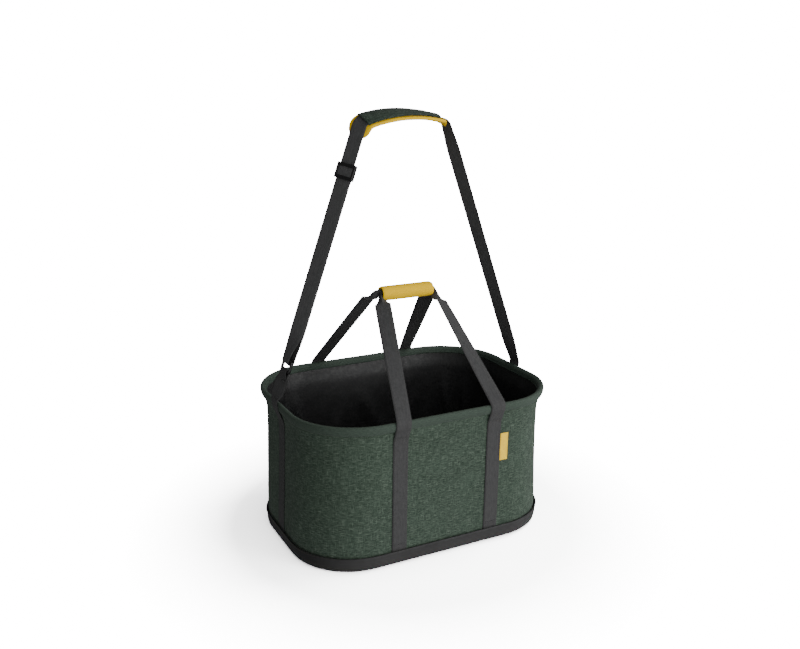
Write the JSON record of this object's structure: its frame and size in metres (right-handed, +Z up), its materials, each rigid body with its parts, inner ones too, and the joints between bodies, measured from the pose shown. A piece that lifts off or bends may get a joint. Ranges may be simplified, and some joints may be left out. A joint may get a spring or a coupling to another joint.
{
  "type": "carry basket",
  "caption": "Open-topped soft carry basket with fabric walls on a moulded tray, a hooped rim, webbing carry handles with a padded grip, and an adjustable padded shoulder strap.",
  "frame": {"origin": "centre of the flat underside of the base tray", "axes": "+X along the basket's length, +Y to the back, +Z up"},
  "size_m": [0.5671, 0.4255, 0.8621],
  "materials": {
    "green_fabric": "woven melange with slubs",
    "green_binding": "plain woven tape",
    "black_lining": "smooth coated lining",
    "webbing": "flat woven webbing",
    "yellow_padding": "soft padded cloth",
    "yellow_label": "moulded soft tag",
    "base_plastic": "fine textured moulding",
    "board_plastic": "sheet",
    "hardware_plastic": "moulded, satin",
    "aluminium": "drawn tube",
    "foam": "closed-cell sheet",
    "thread": "bonded thread",
    "touch_fastener": "hook and loop"
  },
  "bodies": {
    "basket": {"base_tray": "base_plastic", "base_board": "board_plastic", "shell_front": "green_fabric", "shell_back": "green_fabric", "wall_foam": "foam", "lining_wall": "black_lining", "lining_floor": "black_lining", "rim_hoop": "aluminium", "hoop_joint_pin": "aluminium", "rim_binding": "green_binding", "front_wall_strap_left": "webbing", "front_wall_strap_right": "webbing", "back_wall_strap_left": "webbing", "back_wall_strap_right": "webbing", "left_end_strap": "webbing", "right_end_strap": "webbing", "side_label": "yellow_label", "strap_bar_tacks": "thread"},
    "front_handle": {"front_handle_leg_left": "webbing", "front_handle_leg_right": "webbing", "front_handle_fold": "webbing"},
    "back_handle": {"back_handle_leg_left": "webbing", "back_handle_leg_right": "webbing", "back_handle_fold": "webbing", "grip_wrap": "yellow_padding", "fastener_loop_strip": "touch_fastener"},
    "grip_flap": {"grip_flap": "yellow_padding", "fastener_hook_strip": "touch_fastener"},
    "shoulder_strap": {"ring_tab": "webbing", "strap_ring_loop": "webbing", "strap_left_twist": "webbing", "strap_left_run": "webbing", "strap_return_layer": "webbing", "strap_crest": "webbing", "strap_right_run": "webbing", "strap_right_twist": "webbing", "pad_base": "yellow_padding", "pad_cover": "green_fabric"},
    "strap_ring": {"strap_ring": "hardware_plastic"},
    "slider": {"slider_frame": "hardware_plastic", "slider_sewn_end": "webbing"}
  },
  "joints": [
    {"name": "front_handle_swing", "type": "hinge", "parent": "basket", "child": "front_handle", "pos_m": [0, -0.2122, 0.3052], "axis": [1, 0, 0], "range_deg": [0, 195]},
    {"name": "back_handle_swing", "type": "hinge", "parent": "basket", "child": "back_handle", "pos_m": [0, 0.2122, 0.3052], "axis": [-1, 0, 0], "range_deg": [0, 195]},
    {"name": "grip_flap_open", "type": "hinge", "parent": "back_handle", "child": "grip_flap", "pos_m": [0.0015, -0.015, 0.5178], "axis": [-1, 0, 0], "range_deg": [0, 97.5]},
    {"name": "shoulder_strap_swing", "type": "hinge", "parent": "basket", "child": "shoulder_strap", "pos_m": [0, 0, 0.306], "axis": [1, 0, 0], "range_deg": [-80, 80], "deforming": ["ring_tab", "strap_right_twist"]},
    {"name": "strap_ring_rock", "type": "hinge", "parent": "shoulder_strap", "child": "strap_ring", "pos_m": [-0.25551, 0, 0.36595], "axis": [0, 1, 0], "range_deg": [-5, 5]},
    {"name": "slider_slide", "type": "slide", "parent": "shoulder_strap", "child": "slider", "axis": [-0.3339, 0, -0.9426], "range_m": [0, 0.16], "deforming": ["strap_return_layer"]}
  ],
  "couplings": [
    {"joint": "back_handle_swing", "follows": "front_handle_swing", "ratio": 1},
    {"joint": "grip_flap_open", "follows": "front_handle_swing", "ratio": 0.5}
  ]
}
